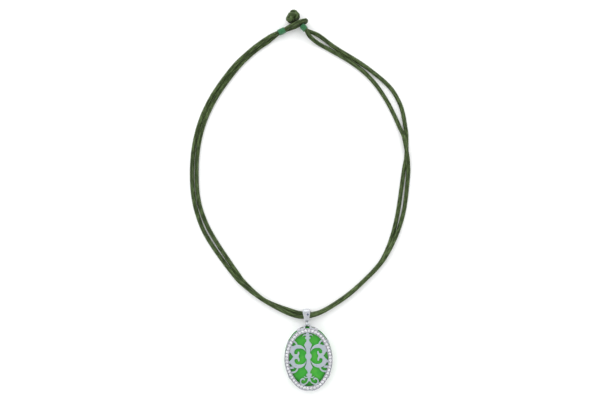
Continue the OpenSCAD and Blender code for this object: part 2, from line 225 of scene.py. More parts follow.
# The slab seen through the openwork: the oval on its face beyond which it is darkened with
# painted shade near the rim and on its side, and the heights between which its side turns
# into its polished face.
UNSHADED_MIDDLE = PENDANT_Y + 0.9 * MM
UNSHADED_HALF_W = 10.2 * MM
UNSHADED_HALF_H = 14.2 * MM
POLISH_LOW = FRONT_Z - 0.3 * MM
POLISH_HIGH = FRONT_Z - 0.1 * MM

# The tent's colour by height, and how its brightness leans from one side to the other, as
# (place, value). The key light shines along KEY_HEADING.
SKY = [
    (0.0, (1.2, 1.2, 1.2)), (0.55, (1.5, 1.5, 1.5)), (0.85, (1.1, 1.11, 1.12)),
    (1.0, (0.76, 0.78, 0.8)),
]
SKY_LEAN = {
    "Y": [(0, 0.5), (0.15, 0.8), (0.5, 1), (0.85, 1.15), (1, 1.25)],
    "X": [(0, 1.15), (0.5, 1.02), (1, 0.9)],
}
KEY_ENERGY = 0.6
KEY_ANGLE = 45
KEY_HEADING = Vector((0.05, -0.5, -1))
TABLE_HALF = 1.5

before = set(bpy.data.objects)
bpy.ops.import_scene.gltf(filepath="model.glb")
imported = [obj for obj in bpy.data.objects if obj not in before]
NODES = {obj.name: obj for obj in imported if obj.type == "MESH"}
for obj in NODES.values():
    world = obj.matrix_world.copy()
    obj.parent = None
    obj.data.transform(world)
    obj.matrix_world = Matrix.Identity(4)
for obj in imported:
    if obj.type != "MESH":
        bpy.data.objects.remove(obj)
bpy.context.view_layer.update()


# Meshes


def piece(name, verts, faces, materials, smooth_angle=None):
    """An object of those vertices and faces, linked to the scene."""
    mesh = bpy.data.meshes.new(name)
    mesh.from_pydata([tuple(v) for v in verts], [], [tuple(f) for f in faces])
    mesh.validate()
    return dressed(name, mesh, materials, smooth_angle)


def dressed(name, mesh, materials, smooth_angle=None):
    """A new object for a mesh, smooth but for edges sharper than smooth_angle degrees."""
    made = bpy.data.objects.new(name, mesh)
    bpy.context.scene.collection.objects.link(made)
    for m in materials:
        if m.name not in mesh.materials:
            mesh.materials.append(m)
    mesh.shade_smooth()
    if smooth_angle is not None:
        mesh.set_sharp_from_angle(angle=math.radians(smooth_angle))
    return made


def stand_in(made, cad_node):
    """A piece that rides on the part and shows in place of a CAD node."""
    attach(made, "root")
    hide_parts(cad_node)


def grid_faces(rows, columns, closed_rows=False):
    """Quads between rings of vertices, each ring closed on itself."""
    faces = []
    for i in range(rows if closed_rows else rows - 1):
        a, b = i * columns, (i + 1) % rows * columns
        for k in range(columns):
            m = (k + 1) % columns
            faces.append((a + k, a + m, b + m, b + k))
    return faces


def tube_faces(rows, columns):
    """Quads between rings of vertices, with a face over the first ring and the last."""
    last = (rows - 1) * columns
    ends = [tuple(range(columns - 1, -1, -1)), tuple(range(last, last + columns))]
    return grid_faces(rows, columns) + ends


def tube_points(line, across, up, r, angle):
    """Points round each point of a line, at distance r and at angles from across to up."""
    return (
        line[:, None, :]
        + (r * np.cos(angle))[..., None] * across[:, None, :]
        + (r * np.sin(angle))[..., None] * up[:, None, :]
    )


def gathered(shapes):
    """Several (vertices, faces) as one."""
    verts, faces = [], []
    for v, f in shapes:
        first = len(verts)
        verts += v
        faces += [[first + i for i in face] for face in f]
    return verts, faces


def box(low, high):
    """Vertices and faces of a box."""
    xs, ys, zs = zip(low, high)
    verts = [(x, y, z) for x in xs for y in ys for z in zs]
    faces = [[0, 1, 3, 2], [4, 6, 7, 5], [0, 4, 5, 1], [2, 3, 7, 6], [0, 2, 6, 4], [1, 5, 7, 3]]
    return verts, faces


def evaluated(obj):
    """A copy of the object's mesh with its modifiers applied."""
    graph = bpy.context.evaluated_depsgraph_get()
    return bpy.data.meshes.new_from_object(obj.evaluated_get(graph), depsgraph=graph)


def combine(base, other, operation):
    """Joins base with another object, or cuts it by one, which is used up."""
    cut = base.modifiers.new("combine", "BOOLEAN")
    cut.solver = "MANIFOLD"
    cut.operation = operation
    cut.object = other
    bpy.context.view_layer.update()
    made = evaluated(base)
    base.modifiers.clear()
    old = base.data
    base.data = made
    bpy.data.meshes.remove(old)
    bpy.data.objects.remove(other)


def joined(name, parts):
    """Several objects as one, with their materials."""
    with bpy.context.temp_override(active_object=parts[0], selected_editable_objects=parts):
        bpy.ops.object.join()
    parts[0].name = name
    return parts[0]


def flip_if_inside_out(obj):
    """Turns a closed mesh's faces to point outwards."""
    shape = bmesh.new()
    shape.from_mesh(obj.data)
    if shape.calc_volume(signed=True) < 0:
        bmesh.ops.reverse_faces(shape, faces=shape.faces)
        shape.to_mesh(obj.data)
    shape.free()


def finish_shading(obj, angle, facets=None):
    """Smooth but for sharp edges, and flat on the faces with the facets' material index."""
    mesh = obj.data
    mesh.shade_smooth()
    mesh.set_sharp_from_angle(angle=math.radians(angle))
    for p in mesh.polygons:
        if p.material_index == facets:
            p.use_smooth = False


def rounded(corners, cut, steps=3):
    """A closed profile with each corner rounded."""
    made = []
    count = len(corners)
    for i, c in enumerate(corners):
        c = np.array(c, float)
        a = np.array(corners[i - 1], float) - c
        b = np.array(corners[(i + 1) % count], float) - c
        r = min(cut, np.linalg.norm(a) * 0.45, np.linalg.norm(b) * 0.45)
        p, q = c + a / np.linalg.norm(a) * r, c + b / np.linalg.norm(b) * r
        for k in range(steps + 1):
            t = k / steps
            made.append((1 - t) ** 2 * p + 2 * t * (1 - t) * c + t * t * q)
    return made


def profile(corners, cut):
    """A rounded profile from corners in millimetres."""
    return rounded([(a * MM, b * MM) for a, b in corners], cut)


# Cords


def refined(points, rounds):
    """The part's smooth curve: each round adds a point half way along every stretch."""
    p = np.array(points, float)
    for _ in range(rounds):
        before = np.vstack([p[:1], p[:-2]])
        after = np.vstack([p[2:], p[-1:]])
        mid = (9 * (p[:-1] + p[1:]) - before - after) / 16
        made = np.empty((2 * len(p) - 1, 3))
        made[0::2], made[1::2] = p, mid
        p = made
    return p


def spaced(points, step):
    """Points at equal distances along a line, and those distances."""
    gone = np.concatenate([[0], np.cumsum(np.linalg.norm(np.diff(points, axis=0), axis=1))])
    s = np.linspace(0, gone[-1], max(2, round(gone[-1] / step)) + 1)
    return np.stack([np.interp(s, gone, points[:, k]) for k in range(3)], axis=1), s


def headings(line, closed=False):
    """The direction of a line at each of its points."""
    if closed:
        d = np.roll(line, -1, axis=0) - np.roll(line, 1, axis=0)
    else:
        d = np.gradient(line, axis=0)
    return d / np.linalg.norm(d, axis=1)[:, None]


def carried(along, first):
    """A direction square to the line, carried along it without twist."""
    out = np.empty_like(along)
    n = np.array(first, float)
    for i, t in enumerate(along):
        n = n - t * (n @ t)
        n /= np.linalg.norm(n)
        out[i] = n
    return out


def braid(s, angle):
    """Height of the braid's surface, from 0 in a groove to 1 on a yarn."""
    turn = angle / (2 * math.pi) * COLUMNS
    column = np.floor(turn)
    u = turn - column - 0.5
    odd = column % 2
    slant = np.where(odd > 0, -SLANT, SLANT)
    v = s / STITCH - slant * u * 2 + odd * 0.5
    yarn = np.abs(np.cos(math.pi * v)) ** YARN_CURVE
    crown = 1 - (2 * np.abs(u)) ** 3
    return 0.5 * yarn + 0.5 * crown


def silk_tube(name, line, s, ups, radius=SKIN_R, closed=False):
    """A braided cord along a line. Its along attribute holds the place round and along
    the cord, and its yarn attribute the braid's height."""
    angle = np.arange(AROUND) * 2 * math.pi / AROUND
    t = headings(line, closed)
    up = ups - t * np.sum(ups * t, axis=1)[:, None]
    up /= np.linalg.norm(up, axis=1)[:, None]
    height = braid(s[:, None], angle[None, :])
    co = tube_points(line, np.cross(t, up), up, radius - GROOVE * (1 - height), angle)
    n = len(line)
    faces = grid_faces(n, AROUND, True) if closed else tube_faces(n, AROUND)
    made = piece(name, co.reshape(-1, 3), faces, [SILK])
    place = np.zeros((n, AROUND, 3), np.float32)
    place[:, :, 0] = np.cos(angle)
    place[:, :, 1] = np.sin(angle)
    place[:, :, 2] = (s / MM)[:, None]
    along = made.data.attributes.new("along", "FLOAT_VECTOR", "POINT")
    along.data.foreach_set("vector", place.ravel())
    # The yarn attribute also sets the painted shade that the silk puts in the braid's grooves.
    yarn = made.data.attributes.new("yarn", "FLOAT", "POINT")
    yarn.data.foreach_set("value", height.astype(np.float32).ravel())
    return made


def strand(name, route, cad_node):
    """One free cord along its route."""
    points = refined(np.array(route, float) * MM, 4)
    points[:, 2] = np.maximum(points[:, 2], REST_Z)
    line, s = spaced(points, RING_STEP)
    made = silk_tube(name, line, s, carried(headings(line), (0, 0, 1)))
    stand_in(made, cad_node)
    tuple(line[0])
    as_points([tuple(p) for p in line[::12]] + [tuple(line[-1])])


# The oval of the pendant


def quarter_point(s, inset):
    """A point of the first quarter at a distance from the right, and its normal's angle."""
    side_r, end_r = RIM_SIDE_R - inset, RIM_END_R - inset
    side_len = side_r * JOIN_ANGLE
    if s < side_len:
        a = s / side_r
        return side_r * math.cos(a) - SIDE_SHIFT, side_r * math.sin(a), a
    a = JOIN_ANGLE + (s - side_len) / end_r
    return end_r * math.cos(a), END_SHIFT + end_r * math.sin(a), a


def quarter_len(inset):
    """The length of a quarter of the inset oval."""
    return (RIM_SIDE_R - inset) * JOIN_ANGLE + (RIM_END_R - inset) * (math.pi / 2 - JOIN_ANGLE)


def oval_point(s, inset):
    """A point on the inset oval at a distance along it, and its normal's angle."""
    q = quarter_len(inset)
    n = int(s // q) % 4
    t = s - (s // q) * q
    x, y, a = quarter_point(t if n % 2 == 0 else q - t, inset)
    return [
        (x, y, a),
        (-x, y, math.pi - a),
        (-x, -y, math.pi + a),
        (x, -y, -a),
    ][n]


def oval_inset(x, y):
    """How far a point of the pendant lies inside the outer oval, and the way out."""
    if math.atan2(abs(y), abs(x) + SIDE_SHIFT) > JOIN_ANGLE:
        r, middle = RIM_END_R, Vector((0, math.copysign(END_SHIFT, y)))
    else:
        r, middle = RIM_SIDE_R, Vector((-math.copysign(SIDE_SHIFT, x), 0))
    d = Vector((x, y)) - middle
    return r - d.length, d.normalized()


def oval_path(steps=OVAL_STEPS):
    """Points and normals round the outer oval."""
    total = 4 * quarter_len(0)
    rows = [oval_point((i + 0.5) * total / steps, 0) for i in range(steps)]
    at = np.array([(x, y + PENDANT_Y, 0) for x, y, _ in rows])
    out = np.array([(math.cos(a), math.sin(a), 0) for _, _, a in rows])
    return at, out


def share_at(test):
    """The first share of the way round the oval where the test of x and y holds."""
    total, steps = 4 * quarter_len(0), 4000
    for k in range(steps):
        x, y, _ = oval_point(k / steps * total, 0)
        if test(x, y):
            return k / steps
    return 0


def rim(name, corners, cut, materials):
    """A closed ring along the oval. Its profile's corners are (inset, height) in
    millimetres."""
    at, out = oval_path()
    section = profile(corners, cut)
    verts = [p - o * i + np.array((0, 0, z)) for p, o in zip(at, out) for i, z in section]
    made = piece(name, verts, grid_faces(len(at), len(section), True), materials, 40)
    flip_if_inside_out(made)
    return made


# Materials


def shader(name):
    """A new material, its node tree and its shader."""
    made = bpy.data.materials.new(name)
    made.use_nodes = True
    tree = made.node_tree
    return made, tree, tree.nodes["Principled BSDF"]


def set_inputs(made, values):
    """Sets a node's sockets by their names."""
    for name, value in values.items():
        made.inputs[name].default_value = value


def node(tree, kind, **values):
    """A new shader node with those inputs or properties."""
    made = tree.nodes.new("ShaderNode" + kind)
    for k, v in values.items():
        if k in made.inputs:
            made.inputs[k].default_value = v
        else:
            setattr(made, k, v)
    return made


def ramp(tree, source, stops):
    """A colour ramp of (place, colour) stops."""
    made = node(tree, "ValToRGB")
    tree.links.new(source, made.inputs["Fac"])
    points = made.color_ramp.elements
    while len(points) < len(stops):
        points.new(0.5)
    for point, (at, colour) in zip(points, stops):
        point.position = at
        point.color = (*colour, 1)
    return made.outputs["Color"]


def noise(tree, place, scale, detail, stretch=(1, 1, 1), rough=0.55):
    """Noise over coordinates that are first stretched."""
    stretched = node(tree, "Mapping")
    set_inputs(stretched, {"Scale": stretch})
    tree.links.new(place, stretched.inputs["Vector"])
    made = node(tree, "TexNoise", Scale=scale, Detail=detail, Roughness=rough)
    tree.links.new(stretched.outputs["Vector"], made.inputs["Vector"])
    return made.outputs["Fac"]


def bump(tree, base, source, strength, distance):
    """Gives the shader a bumpy surface."""
    made = node(tree, "Bump", Strength=strength, Distance=distance)
    tree.links.new(source, made.inputs["Height"])
    tree.links.new(made.outputs["Normal"], base.inputs["Normal"])


def multiplied(tree, colour, other):
    """One colour times another."""
    mix = node(tree, "Mix", data_type="RGBA", blend_type="MULTIPLY")
    mix.inputs["Factor"].default_value = 1
    tree.links.new(colour, mix.inputs["A"])
    tree.links.new(other, mix.inputs["B"])
    return mix.outputs["Result"]


def mapped(tree, source, values):
    """A value mapped from one range to another."""
    made = node(tree, "MapRange")
    set_inputs(made, values)
    tree.links.new(source, made.inputs["Value"])
    return made.outputs["Result"]


def object_place(tree):
    """Coordinates fixed to the object, in metres."""
    return node(tree, "TexCoord").outputs["Object"]


def silk():
    """Dark olive silk: streaks along the cord, and painted shade wherever the yarn attribute is
    low, as in the braid's grooves.
    """
    made, tree, base = shader("silk")
    along = node(tree, "Attribute", attribute_name="along").outputs["Vector"]
    tone = ramp(
        tree,
        noise(tree, along, 1.6, 4, (1.7, 1.7, 0.22)),
        [(0.36, (0.009, 0.018, 0.003)), (0.5, (0.037, 0.062, 0.014)), (0.64, (0.1, 0.15, 0.055))],
    )
    # Painted shade: low yarn values, in the grooves, under the button and on its neck, darken the
    # silk.
    yarn = node(tree, "Attribute", attribute_name="yarn").outputs["Fac"]
    groove = ramp(tree, yarn, [(0.1, (0.2, 0.2, 0.18)), (0.75, (1, 1, 1))])
    tree.links.new(multiplied(tree, tone, groove), base.inputs["Base Color"])
    set_inputs(base, {
        "Roughness": 0.6,
        "Specular IOR Level": 0.2,
        "Sheen Weight": 0.1,
        "Sheen Roughness": 0.4,
        "Sheen Tint": (0.7, 0.9, 0.4, 1),
    })
    bump(tree, base, noise(tree, along, 4, 3, (6, 6, 1.2)), 0.35, 0.05 * MM)
    return made


def thread():
    """Emerald sewing thread with a twist."""
    made, tree, base = shader("thread")
    place = object_place(tree)
    tone = ramp(
        tree,
        noise(tree, place, 1600, 3),
        [(0.3, (0.017, 0.12, 0.043)), (0.7, (0.043, 0.21, 0.082))],
    )
    tree.links.new(tone, base.inputs["Base Color"])
    set_inputs(base, {"Roughness": 0.5, "Specular IOR Level": 0.3, "Sheen Weight": 0.1})
    bump(tree, base, noise(tree, place, 9000, 2), 0.3, 0.02 * MM)
    return made


def metal(name, colour, rough, grain):
    """White metal with a fine grain, duller and brighter in soft patches."""
    made, tree, base = shader(name)
    place = object_place(tree)
    dull, bright = (0.93, 0.98, 0.99), (1.04, 1, 1.03)
    stops = [
        (at, tuple(c * share for c, share in zip(colour, shares)))
        for at, shares in ((0.35, dull), (0.65, bright))
    ]
    tree.links.new(ramp(tree, noise(tree, place, 420, 2), stops), base.inputs["Base Color"])
    base.inputs["Metallic"].default_value = 1
    spread = mapped(
        tree, noise(tree, place, 900, 3), {"To Min": rough * 0.75, "To Max": rough * 1.25}
    )
    tree.links.new(spread, base.inputs["Roughness"])
    bump(tree, base, noise(tree, place, 5200, 2), grain, 0.02 * MM)
    return made


def shade_reach(tree, place):
    """How far a point of the slab lies from its middle: 1 where its painted shade begins."""
    oval = node(tree, "Mapping")
    set_inputs(oval, {
        "Location": (0, -UNSHADED_MIDDLE / UNSHADED_HALF_H, 0),
        "Scale": (1 / UNSHADED_HALF_W, 1 / UNSHADED_HALF_H, 0),
    })
    tree.links.new(place, oval.inputs["Vector"])
    reach = node(tree, "VectorMath", operation="LENGTH")
    tree.links.new(oval.outputs["Vector"], reach.inputs[0])
    return reach.outputs["Value"]


def jade():
    """Green jade, clouded with lighter and yellower green: polished on its face and duller on
    its side, with painted shade near the rim and on its side."""
    made, tree, base = shader("jade")
    place = object_place(tree)
    tone = ramp(
        tree,
        noise(tree, place, 260, 5, (1, 1, 0.4), 0.6),
        [(0.32, (0.036, 0.29, 0.03)), (0.5, (0.046, 0.33, 0.039)), (0.68, (0.078, 0.37, 0.044))],
    )
    # Painted shade: darker beyond the oval, near the rim and on the slab's side.
    painted_edge_shade = ramp(
        tree,
        shade_reach(tree, place),
        [(0.92, (1, 1, 1)), (1.0, (0.58, 0.6, 0.6)), (1.1, (0.35, 0.55, 0.45))],
    )
    tree.links.new(multiplied(tree, tone, painted_edge_shade), base.inputs["Base Color"])
    split = node(tree, "SeparateXYZ")
    tree.links.new(place, split.inputs["Vector"])
    face = mapped(tree, split.outputs["Z"], {"From Min": POLISH_LOW, "From Max": POLISH_HIGH})
    tree.links.new(face, base.inputs["Coat Weight"])
    set_inputs(base, {
        "Roughness": 0.5,
        "Specular IOR Level": 0,
        "Coat Roughness": 0.22,
        "Coat IOR": 1.25,
        "Subsurface Weight": 0.25,
        "Subsurface Radius": (0.3, 1, 0.3),
        "Subsurface Scale": 0.6 * MM,
    })
    return made


def stone(name, colour, ior):
    """Cut stone, one a little clearer than the next."""
    made, tree, base = shader(name)
    dull, bright = (tuple(c * share for c in colour) for share in (0.9, 1.05))
    tint = ramp(tree, noise(tree, object_place(tree), 450, 1), [(0.38, dull), (0.62, bright)])
    tree.links.new(tint, base.inputs["Base Color"])
    set_inputs(base, {"Roughness": 0.02, "IOR": ior, "Transmission Weight": 1})
    return made


SILK = silk()
THREAD = thread()
SATIN = metal("satin_metal", (0.5, 0.55, 0.59), 0.3, 0.25)
POLISHED = metal("polished_metal", (0.64, 0.65, 0.665), 0.14, 0.05)
BAIL_METAL = metal("bail_metal", (0.5, 0.515, 0.53), 0.32, 0.1)
RIM_METAL = metal("rim_metal", (0.47, 0.475, 0.5), 0.16, 0.05)
# A darker copy of the rim's metal, used as painted shade in the recesses between the stones.
PAINTED_RECESS_SHADE = metal("recess_shade_metal", (0.28, 0.28, 0.3), 0.35, 0.1)
JADE = jade()
CLEAR = stone("clear_stone", (0.79, 0.79, 0.825), 2.1)
BLUE = stone("blue_stone", (0.26, 0.32, 0.45), 1.76)


# Button and wraps


def knot_line():
    """The button's cord, woven over and under itself round a ball: its points, and the
    direction out of the ball at each."""
    turns = np.linspace(0, 2 * math.pi, KNOT_POINTS, endpoint=False)
    round_ball = KNOT_LEADS * turns
    tilt = math.radians(KNOT_TILT) * np.cos(KNOT_BIGHTS * turns)
    reach = KNOT_R + KNOT_WAVE * np.sin(2 * KNOT_BIGHTS * turns)
    out = np.stack(
        [np.cos(tilt) * np.cos(round_ball), np.cos(tilt) * np.sin(round_ball), np.sin(tilt)],
        axis=1,
    )
    return out * reach[:, None], out


def woven_ball(axis):
    """The button's ball about an axis, with a whole number of stitches along its cord."""
    upright, turned_by = Vector((0, 0, 1)), math.radians(KNOT_TURN)
    first = upright.cross(axis) * math.cos(turned_by) + upright * math.sin(turned_by)
    turn = np.array([first, axis.cross(first), axis])
    line, out = knot_line()
    line, out = line @ turn, out @ turn
    steps = np.linalg.norm(np.roll(line, -1, axis=0) - line, axis=1)
    length = float(np.sum(steps))
    s = np.concatenate([[0], np.cumsum(steps)[:-1]])
    s = s * round(length / STITCH) * STITCH / length
    return silk_tube("knot_ball", line, s, out, closed=True)


def shape_knot(ball):
    """Moves the ball to its place and gives it its outline: fuller at its top and foot,
    leaning and bulging to the right, and with painted shade where it sits against the loop."""
    mesh = ball.data
    co = np.empty(len(mesh.vertices) * 3)
    mesh.vertices.foreach_get("co", co)
    co = co.reshape(-1, 3)
    up = co[:, 1] / KNOT_HALF
    wider = KNOT_TOP_WIDER * np.clip(up, 0, 1) ** 2 + KNOT_FOOT_WIDER * np.clip(-2 * up, 0, 1)
    right = np.clip(co[:, 0] / KNOT_HALF, -1, 1)
    co[:, 0] = co[:, 0] * (KNOT_WIDTH + wider) + co[:, 1] * KNOT_LEAN
    co[:, 1] *= np.where(up > 0, KNOT_TOP_TALL, KNOT_FOOT_TALL)
    bulge = np.exp(-(((co[:, 1] - KNOT_BULGE_AT) / KNOT_BULGE_SIZE) ** 2))
    share = (1 + KNOT_BULGE_LEFT) / 2 + (1 - KNOT_BULGE_LEFT) / 2 * right
    co[:, 0] += KNOT_BULGE * share * bulge
    # Painted shade: yarn values are lowered near the loop, so the silk is dark there.
    from_loop = co[:, :2] @ LOOP_SIDE / MM + KNOT_TO_LOOP
    yarn = np.empty(len(co), np.float32)
    mesh.attributes["yarn"].data.foreach_get("value", yarn)
    yarn *= np.clip((from_loop - SHADE_FROM) / SHADE_OVER, 0, 1)
    mesh.attributes["yarn"].data.foreach_set("value", yarn)
    co += np.array(KNOT_AT)
    co[:, 2] = np.maximum(co[:, 2], KNOT_BOTTOM)
    mesh.vertices.foreach_set("co", co.ravel())
    mesh.update()


def neck_strand(name, start, end):
    """A strand of the button's neck, given painted shade because it lies in the loop."""
    line, s = spaced(np.array([start, end]), RING_STEP)
    made = silk_tube(name, line, s, np.tile((0, 0, 1.0), (len(line), 1)), NECK_R)
    # Painted shade: a low yarn value all along makes the silk dark.
    shade = np.full(len(made.data.vertices), NECK_SHADE, np.float32)
    made.data.attributes["yarn"].data.foreach_set("value", shade)
    return made


def button_knot():
    """The button and its neck, down to the wrap that binds it."""
    neck_end = Vector(WRAPS["wrap_right"]["at"]) * MM
    axis = Vector((KNOT_AT.x - neck_end.x, KNOT_AT.y - neck_end.y, 0)).normalized()
    ball = woven_ball(axis)
    shape_knot(ball)
    necks = []
    for k, dz in enumerate((-STACK / 2, STACK / 2)):
        start = np.array(KNOT_AT) - np.array(axis) * NECK_IN
        start[2] = neck_end.z + dz
        end = np.array(neck_end) + np.array((0, 0, dz))
        necks.append(neck_strand(f"neck_{k}", start, end))
    stand_in(joined("button", [ball, *necks]), "button_knot")


def stadium_point(part, r):
    """A point on a stadium standing on end, a share of the way round, and its normal."""
    straight, bend = STACK, math.pi * r
    at = part * 2 * (straight + bend)
    if at < straight:
        return (r, at - STACK / 2), (1, 0)
    at -= straight
    if at < bend:
        a = at / r
        return (r * math.cos(a), STACK / 2 + r * math.sin(a)), (math.cos(a), math.sin(a))
    at -= bend
    if at < straight:
        return (-r, STACK / 2 - at), (-1, 0)
    a = (at - straight) / r
    return (-r * math.cos(a), -STACK / 2 - r * math.sin(a)), (-math.cos(a), -math.sin(a))


def thread_wrap(name, at, turn, length):
    """Thread wound round both strands, turn beside turn."""
    a = math.radians(turn)
    axis, side = Vector((math.cos(a), math.sin(a), 0)), Vector((-math.sin(a), math.cos(a), 0))
    turns = int(length * MM / THREAD_PITCH)
    line, ups = [], []
    for i in range(turns * THREAD_STEPS + 1):
        gone = i / THREAD_STEPS
        (x, z), (nx, nz) = stadium_point(gone % 1, BORE_R + THREAD_D * THREAD_OUT)
        shift = (gone - turns / 2) * THREAD_PITCH
        line.append(Vector(at) * MM + axis * shift + side * x + Vector((0, 0, z)))
        ups.append(side * nx + Vector((0, 0, nz)))
    line, ups = np.array(line), np.array(ups)
    angle = np.arange(THREAD_SIDES) * 2 * math.pi / THREAD_SIDES
    co = tube_points(line, np.cross(headings(line), ups), ups, THREAD_D / 2, angle)
    faces = tube_faces(len(line), THREAD_SIDES)
    made = piece(name.replace("wrap", "thread"), co.reshape(-1, 3), faces, [THREAD])
    stand_in(made, name)


# Stones


def brilliant(d, pavilion, at, turn=0):
    """Vertices and faces of a round cut stone with its girdle at the height of at."""
    big = d / 2
    small = big * TABLE_SHARE
    half = math.pi / 8
    verts, faces = [], []

    def ring(count, r, z, offset=0.0):
        first = len(verts)
        for k in range(count):
            a = 2 * math.pi * k / count + offset + turn
            verts.append((at[0] + r * math.cos(a), at[1] + r * math.sin(a), at[2] + z))
        return first

    mid_r = big * CROWN_SHARE
    mid_z = CROWN * (big - mid_r * math.cos(half)) / (big - small)
    low_r = big * PAVILION_SHARE
    low_z = -pavilion * (big - low_r * math.cos(half)) / big
    top = ring(8, small, CROWN)
    mid = ring(8, mid_r, mid_z, half)
    upper = ring(16, big, 0)
    lower = ring(16, big, -GIRDLE)
    low = ring(8, low_r, low_z - GIRDLE, half)
    culet = ring(1, 0, -pavilion - GIRDLE)
    faces.append([top + k for k in range(8)])
    for k in range(8):
        n = (k + 1) % 8
        g, h, j = 2 * k, 2 * k + 1, (2 * k + 2) % 16
        faces.append([top + k, mid + k, top + n])
        faces.append([top + n, mid + k, upper + j, mid + n])
        faces.append([mid + k, upper + g, upper + h])
        faces.append([mid + k, upper + h, upper + j])
        faces.append([low + k, lower + h, lower + g])
        faces.append([low + k, lower + j, lower + h])
        faces.append([culet, low + n, lower + j, low + k])
    for k in range(16):
        n = (k + 1) % 16
        faces.append([upper + k, lower + k, lower + n, upper + n])
    return verts, faces


def ball_shape(at, r, rings=8, sides=12):
    """Vertices and faces of a small sphere."""
    verts = [(at[0], at[1], at[2] + r)]
    for i in range(1, rings):
        a = math.pi * i / rings
        for k in range(sides):
            b = 2 * math.pi * k / sides
            x, y = r * math.sin(a) * math.cos(b), r * math.sin(a) * math.sin(b)
            verts.append((at[0] + x, at[1] + y, at[2] + r * math.cos(a)))
    verts.append((at[0], at[1], at[2] - r))
    faces = [[0, 1 + k, 1 + (k + 1) % sides] for k in range(sides)]
    for i in range(rings - 2):
        a, b = 1 + i * sides, 1 + (i + 1) * sides
        for k in range(sides):
            n = (k + 1) % sides
            faces.append([a + k, b + k, b + n, a + n])
    last, end = 1 + (rings - 2) * sides, len(verts) - 1
    faces += [[end, last + (k + 1) % sides, last + k] for k in range(sides)]
    return verts, faces


def seat_cutter(at, sides=16):
    """Vertices and faces of a stone's seat: a cone, point down, and a short shaft."""
    verts = [(at[0], at[1], at[2] - SEAT_DEPTH)]
    for z in (0, SEAT_RISE):
        for k in range(sides):
            a = 2 * math.pi * k / sides
            x, y = SEAT_R * math.cos(a), SEAT_R * math.sin(a)
            verts.append((at[0] + x, at[1] + y, at[2] + z))
    faces = [[0, 1 + (k + 1) % sides, 1 + k] for k in range(sides)]
    for k in range(sides):
        n = (k + 1) % sides
        faces.append([1 + k, 1 + n, 1 + sides + n, 1 + sides + k])
    faces.append([1 + sides + k for k in range(sides)])
    return verts, faces


def pave_places():
    """Middle and turn of each stone, and the two beads after it."""
    total = 4 * quarter_len(BAND_W / 2)
    step = total / PAVE_COUNT
    for i in range(PAVE_COUNT):
        x, y, a = oval_point((i + 0.5) * step, BAND_W / 2)
        bx, by, b = oval_point((i + 1) * step % total, BAND_W / 2)
        beads = []
        for out in (-BEAD_OUT, BEAD_OUT):
            bead_y = by + PENDANT_Y + out * math.sin(b)
            beads.append((bx + out * math.cos(b), bead_y, SEAT_Z + BEAD_UP))
        yield (x, y + PENDANT_Y, PAVE_Z), a, beads


def pave_rim():
    """The front rim with its stones and the beads that hold them, fused."""
    foot, top, seat = FRONT_Z / MM, FRONT_TOP / MM, SEAT_Z / MM
    band, lip, slope, chamfer = BAND_W / MM, LIP / MM, 0.06, (0.1, 0.12)
    corners = [
        (0, foot), (0, top - chamfer[1]), (chamfer[0], top), (lip, top), (lip + slope, seat),
        (band - lip - slope, seat), (band - lip, top), (band - chamfer[0], top),
        (band, top - chamfer[1]), (band, foot),
    ]
    materials = [RIM_METAL, CLEAR]
    made = rim("pave_rim", corners, 0.09 * MM, materials)
    places = list(pave_places())
    seats = gathered([seat_cutter((p[0], p[1], SEAT_Z)) for p, _, _ in places])
    combine(made, piece("seats", *seats, materials), "DIFFERENCE")
    beads = gathered([ball_shape(b, BEAD_R) for _, _, pair in places for b in pair])
    combine(made, piece("beads", *beads, materials), "UNION")
    stones = gathered([brilliant(PAVE_D, PAVE_DEPTH, p, a) for p, a, _ in places])
    cut = piece("stones", *stones, materials)
    cut.data.polygons.foreach_set("material_index", [1] * len(cut.data.polygons))
    combine(made, cut, "UNION")
    paint_recess_shade(made)
    finish_shading(made, 40, facets=1)
    stand_in(made, "pave_stones")


def paint_recess_shade(obj):
    """The metal between the stones, below the rim's lips, is given a darker metal as painted
    shade.
    """
    obj.data.materials.append(PAINTED_RECESS_SHADE)
    low, high, margin = SEAT_Z - 0.6 * MM, SEAT_Z + 0.04 * MM, 0.2 * MM
    for p in obj.data.polygons:
        inset = oval_inset(p.center.x, p.center.y - PENDANT_Y)[0]
        in_channel = margin < inset < BAND_W - margin
        if p.material_index == 0 and in_channel and low < p.center.z < high:
            p.material_index = 2


# Frame of the pendant


def flat_edges(mesh, height):
    """The edges round a mesh's flat top at a height, as pairs of keys, and the point that
    each key stands for."""
    grain, flat = 0.0005 * MM, 0.002 * MM
    points, edges = {}, {}
    for poly in mesh.polygons:
        co = [mesh.vertices[i].co for i in poly.vertices]
        if max(abs(c.z - height) for c in co) > flat or poly.normal.z < 0.99:
            continue
        keys = [(round(c.x / grain), round(c.y / grain)) for c in co]
        for k, c in zip(keys, co):
            points[k] = (c.x, c.y)
        for a, b in zip(keys, keys[1:] + keys[:1]):
            if (b, a) in edges:
                del edges[(b, a)]
            else:
                edges[(a, b)] = True
    return edges, points


def outlines(cad_node, height):
    """Closed outlines of a CAD node's flat top at a height."""
    edges, points = flat_edges(cad_node.data, height)
    after = {}
    for a, b in edges:
        after.setdefault(a, []).append(b)
    loops = []
    while after:
        start = next(iter(after))
        loop, at = [start], after[start].pop()
        while at != start:
            loop.append(at)
            at = after[at].pop()
        after = {k: v for k, v in after.items() if v}
        loops.append([points[k] for k in loop])
    return loops


